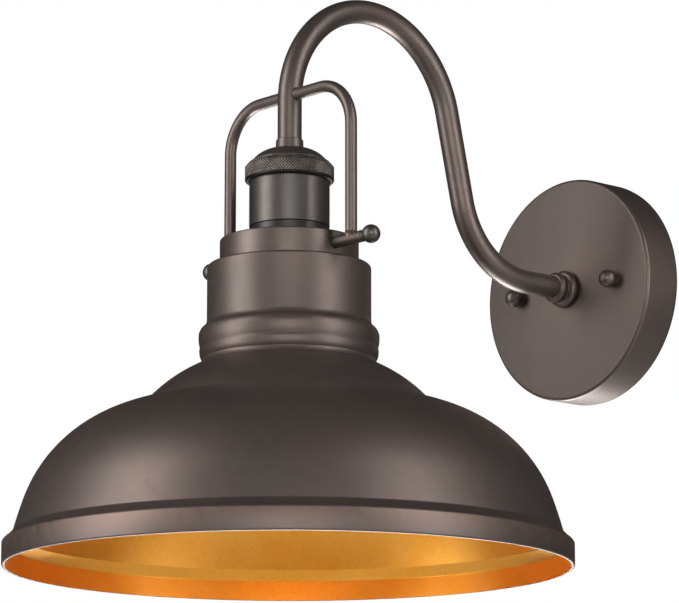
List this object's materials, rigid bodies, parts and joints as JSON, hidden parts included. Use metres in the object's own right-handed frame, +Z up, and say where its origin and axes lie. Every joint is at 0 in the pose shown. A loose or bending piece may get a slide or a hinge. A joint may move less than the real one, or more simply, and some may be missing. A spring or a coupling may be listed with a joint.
{
  "type": "outdoor wall lantern",
  "caption": "Gooseneck barn-style wall lantern: round wall plate, bent tube arm, lamp head with a knurled ring, twin bail with ball-headed thumbscrews and a stepped spun shade, mouth down.",
  "frame": {"origin": "middle of the wall side of the round plate, on the wall plane", "axes": "+Z up, +Y into the wall, so the lantern stands out along -Y, +X to the right of someone who faces the wall"},
  "size_m": [0.299, 0.383, 0.3188],
  "materials": {
    "bronze_enamel": "satin",
    "bronze_metal": "satin",
    "shade_enamel": "satin outside, gold inside",
    "brass": "satin",
    "zinc_steel": "satin",
    "green_zinc": "satin",
    "black_rubber": "matte",
    "black_phenolic": "semi-gloss",
    "black_wire": "satin",
    "white_wire": "satin",
    "connector_nylon": "satin"
  },
  "bodies": {
    "fixture": {"arm_collar": "bronze_enamel", "arm_ferrule": "bronze_enamel", "arm_lock_nut": "brass", "arm_nipple": "zinc_steel", "arm_tube": "bronze_enamel", "arm_washer": "zinc_steel", "bail_left": "bronze_enamel", "bail_right": "bronze_enamel", "centre_contact": "brass", "contact_rivets": "brass", "fitter_collar": "bronze_enamel", "ground_screw": "green_zinc", "hot_lead": "black_wire", "lampholder": "black_phenolic", "mounting_strap": "zinc_steel", "neutral_lead": "white_wire", "plate_studs": "zinc_steel", "retaining_ring": "black_phenolic", "screw_shell": "brass", "shade": "shade_enamel", "shade_rivets": "zinc_steel", "socket_body": "bronze_metal", "socket_cap": "bronze_enamel", "stud_lock_nuts": "zinc_steel", "wall_gasket": "black_rubber", "wall_plate": "bronze_enamel", "wire_connectors": "connector_nylon"},
    "ring": {"knurled_ring": "bronze_metal"},
    "left_nut": {"ball_nut_left": "bronze_enamel"},
    "right_nut": {"ball_nut_right": "bronze_enamel"},
    "left_screw": {"thumbscrew_left": "bronze_metal"},
    "right_screw": {"thumbscrew_right": "bronze_metal"}
  },
  "joints": [
    {"name": "ring_turn", "type": "hinge", "parent": "fixture", "child": "ring", "pos_m": [0, -0.2335, 0.035], "axis": [0, 0, 1], "continuous": true},
    {"name": "left_nut_turn", "type": "hinge", "parent": "fixture", "child": "left_nut", "pos_m": [-0.0375, -0.0291, 0], "axis": [0, 1, 0], "continuous": true},
    {"name": "right_nut_turn", "type": "hinge", "parent": "fixture", "child": "right_nut", "pos_m": [0.0375, -0.0291, 0], "axis": [0, 1, 0], "continuous": true},
    {"name": "left_screw_turn", "type": "hinge", "parent": "fixture", "child": "left_screw", "pos_m": [-0.0648, -0.2335, -0.0092], "axis": [1, 0, 0], "continuous": true},
    {"name": "right_screw_turn", "type": "hinge", "parent": "fixture", "child": "right_screw", "pos_m": [0.0648, -0.2335, -0.0092], "axis": [1, 0, 0], "continuous": true}
  ]
}
